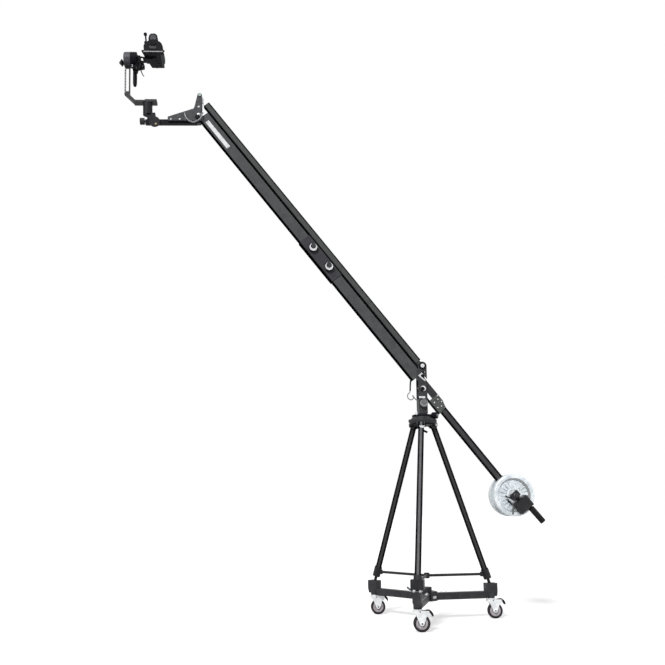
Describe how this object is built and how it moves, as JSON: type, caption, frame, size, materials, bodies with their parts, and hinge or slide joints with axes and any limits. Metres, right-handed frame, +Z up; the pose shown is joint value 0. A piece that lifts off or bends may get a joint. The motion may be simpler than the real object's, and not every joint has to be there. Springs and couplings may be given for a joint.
{
  "type": "camera jib crane",
  "caption": "Counterweighted camera jib crane with a level-keeping arm on a tripod and rolling dolly, carrying a pan and tilt head.",
  "frame": {"origin": "on the floor, under the middle of the object's outline", "axes": "+Z up; the arm lies in the XZ plane with the camera towards -X and the counterweight towards +X; the splice knobs and hand grip face -Y"},
  "size_m": [2.9989, 0.8709, 4.1194],
  "materials": {
    "grey_paint": "dark grey satin paint over drawn aluminium",
    "black_metal": "black satin powder coat",
    "black_alloy": "black satin coat over cast aluminium",
    "black_plastic": "black moulded plastic",
    "zinc": "zinc plated steel",
    "silver": "bright turned steel",
    "weight_iron": "silver hammered paint over cast iron",
    "tyre": "black rubber",
    "rubber": "black rubber",
    "pale_disc": "pale grey moulded nylon"
  },
  "bodies": {
    "base": {"dolly_hub": "black_alloy", "dolly_arm_right": "black_alloy", "dolly_arm_left": "black_alloy", "dolly_arm_front": "black_alloy", "tripod_crown": "grey_paint", "tripod_leg_right": "grey_paint", "tripod_leg_left": "grey_paint", "tripod_leg_front": "grey_paint", "leg_fitting_right": "black_plastic", "leg_fitting_left": "black_plastic", "leg_fitting_front": "black_plastic", "leg_spreader": "black_metal"},
    "mast": {"mast_yoke": "grey_paint", "main_pivot_bolt": "silver", "upper_pivot_bolt": "silver", "rear_cable": "rubber"},
    "boom": {"boom_front_tube": "grey_paint", "boom_rear_tube": "grey_paint", "splice_sleeve": "grey_paint", "boom_front_lug": "zinc", "tail_bar": "grey_paint", "joint_plate": "zinc", "tail_strap": "black_metal", "weight_bar": "grey_paint", "weight_rod": "silver", "weight_plate_near": "weight_iron", "weight_plate_far": "weight_iron", "weight_clamp": "black_metal", "boom_grip": "rubber"},
    "control": {"control_tube": "grey_paint", "control_tube_lug": "silver"},
    "bracket": {"level_bracket": "black_alloy", "front_lower_bolt": "silver", "front_upper_bolt": "silver", "pan_unit": "black_alloy", "front_cable": "silver"},
    "pan_head": {"head_bracket": "black_alloy", "tilt_drum": "black_plastic"},
    "camera": {"camera_plate": "black_alloy", "camera_body": "black_plastic", "camera_handle": "black_plastic"},
    "castor_right": {"castor_fork_right": "zinc"},
    "wheel_right": {"castor_wheel_right": "pale_disc", "castor_tyre_right": "tyre"},
    "brake_right": {"castor_brake_right": "black_plastic"},
    "castor_left": {"castor_fork_left": "zinc"},
    "wheel_left": {"castor_wheel_left": "pale_disc", "castor_tyre_left": "tyre"},
    "brake_left": {"castor_brake_left": "black_plastic"},
    "castor_front": {"castor_fork_front": "zinc"},
    "wheel_front": {"castor_wheel_front": "pale_disc", "castor_tyre_front": "tyre"},
    "brake_front": {"castor_brake_front": "black_plastic"},
    "crown_knob": {"crown_knob": "black_plastic"},
    "drag_knob": {"pan_drag_knob": "grey_paint"},
    "splice_knob_front": {"splice_knob_front": "black_plastic"},
    "splice_knob_rear": {"splice_knob_rear": "black_plastic"},
    "end_knob": {"bar_end_knob": "black_plastic"},
    "clamp_knob": {"bar_clamp_knob": "black_plastic"},
    "tilt_lock": {"tilt_knob": "black_plastic"}
  },
  "joints": [
    {"name": "mast_pan", "type": "hinge", "parent": "base", "child": "mast", "pos_m": [0.70522, 0.03877, 1.345], "axis": [0, 0, 1], "continuous": true},
    {"name": "boom_tilt", "type": "hinge", "parent": "mast", "child": "boom", "pos_m": [0.70522, 0.03877, 1.516], "axis": [0, 1, 0], "range_deg": [-83, 1], "deforming": ["rear_cable"]},
    {"name": "control_tilt", "type": "hinge", "parent": "mast", "child": "control", "pos_m": [0.70522, 0.03877, 1.67604], "axis": [0, 1, 0], "range_deg": [-83, 1]},
    {"name": "head_level", "type": "hinge", "parent": "boom", "child": "bracket", "pos_m": [-0.90173, 0.03877, 3.50752], "axis": [0, 1, 0], "range_deg": [-1, 83], "deforming": ["front_cable"]},
    {"name": "head_pan", "type": "hinge", "parent": "bracket", "child": "pan_head", "pos_m": [-1.2758, 0.03877, 3.59447], "axis": [-0.0523, 0, 0.9986], "range_deg": [-175, 175]},
    {"name": "head_tilt", "type": "hinge", "parent": "pan_head", "child": "camera", "pos_m": [-1.2943, 0.03877, 3.94758], "axis": [0.9986, 0, 0.0523], "range_deg": [-60, 60]},
    {"name": "castor_swivel_right", "type": "hinge", "parent": "base", "child": "castor_right", "pos_m": [1.15542, 0.11734, 0.13], "axis": [0, 0, 1], "continuous": true},
    {"name": "wheel_spin_right", "type": "hinge", "parent": "castor_right", "child": "wheel_right", "pos_m": [1.1783, 0.11501, 0.05], "axis": [0.1011, 0.9949, 0], "continuous": true},
    {"name": "brake_pedal_right", "type": "hinge", "parent": "castor_right", "child": "brake_right", "pos_m": [1.18924, 0.1139, 0.111], "axis": [0.1011, 0.9949, 0], "range_deg": [0, 8]},
    {"name": "castor_swivel_left", "type": "hinge", "parent": "base", "child": "castor_left", "pos_m": [0.41208, 0.38936, 0.13], "axis": [0, 0, 1], "continuous": true},
    {"name": "wheel_spin_left", "type": "hinge", "parent": "castor_left", "child": "wheel_left", "pos_m": [0.43496, 0.38704, 0.05], "axis": [0.1011, 0.9949, 0], "continuous": true},
    {"name": "brake_pedal_left", "type": "hinge", "parent": "castor_left", "child": "brake_left", "pos_m": [0.44591, 0.38593, 0.111], "axis": [0.1011, 0.9949, 0], "range_deg": [0, 8]},
    {"name": "castor_swivel_front", "type": "hinge", "parent": "base", "child": "castor_front", "pos_m": [0.54817, -0.3904, 0.13], "axis": [0, 0, 1], "continuous": true},
    {"name": "wheel_spin_front", "type": "hinge", "parent": "castor_front", "child": "wheel_front", "pos_m": [0.57105, -0.39272, 0.05], "axis": [0.1011, 0.9949, 0], "continuous": true},
    {"name": "brake_pedal_front", "type": "hinge", "parent": "castor_front", "child": "brake_front", "pos_m": [0.582, -0.39383, 0.111], "axis": [0.1011, 0.9949, 0], "range_deg": [0, 8]},
    {"name": "crown_knob_turn", "type": "hinge", "parent": "base", "child": "crown_knob", "pos_m": [0.75401, 0.00332, 1.33], "axis": [0.809, -0.5878, 0], "continuous": true},
    {"name": "drag_knob_turn", "type": "hinge", "parent": "mast", "child": "drag_knob", "pos_m": [0.70522, -0.00153, 1.413], "axis": [0, -1, 0], "continuous": true},
    {"name": "splice_knob_front_turn", "type": "hinge", "parent": "boom", "child": "splice_knob_front", "pos_m": [-0.05891, 0.00867, 2.51396], "axis": [0, -1, 0], "continuous": true},
    {"name": "splice_knob_rear_turn", "type": "hinge", "parent": "boom", "child": "splice_knob_rear", "pos_m": [0.0535, 0.00867, 2.37465], "axis": [0, -1, 0], "continuous": true},
    {"name": "end_knob_turn", "type": "hinge", "parent": "bracket", "child": "end_knob", "pos_m": [-1.28462, 0.03877, 3.45141], "axis": [-0.9986, 0, -0.0523], "continuous": true},
    {"name": "clamp_knob_turn", "type": "hinge", "parent": "bracket", "child": "clamp_knob", "pos_m": [-1.21442, 0.02347, 3.43606], "axis": [0, -1, 0], "continuous": true},
    {"name": "tilt_lock_turn", "type": "hinge", "parent": "pan_head", "child": "tilt_lock", "pos_m": [-1.46446, 0.03877, 3.91563], "axis": [-0.9986, 0, -0.0523], "continuous": true}
  ],
  "couplings": [
    {"joint": "control_tilt", "follows": "boom_tilt", "ratio": 1},
    {"joint": "head_level", "follows": "boom_tilt", "ratio": -1}
  ]
}
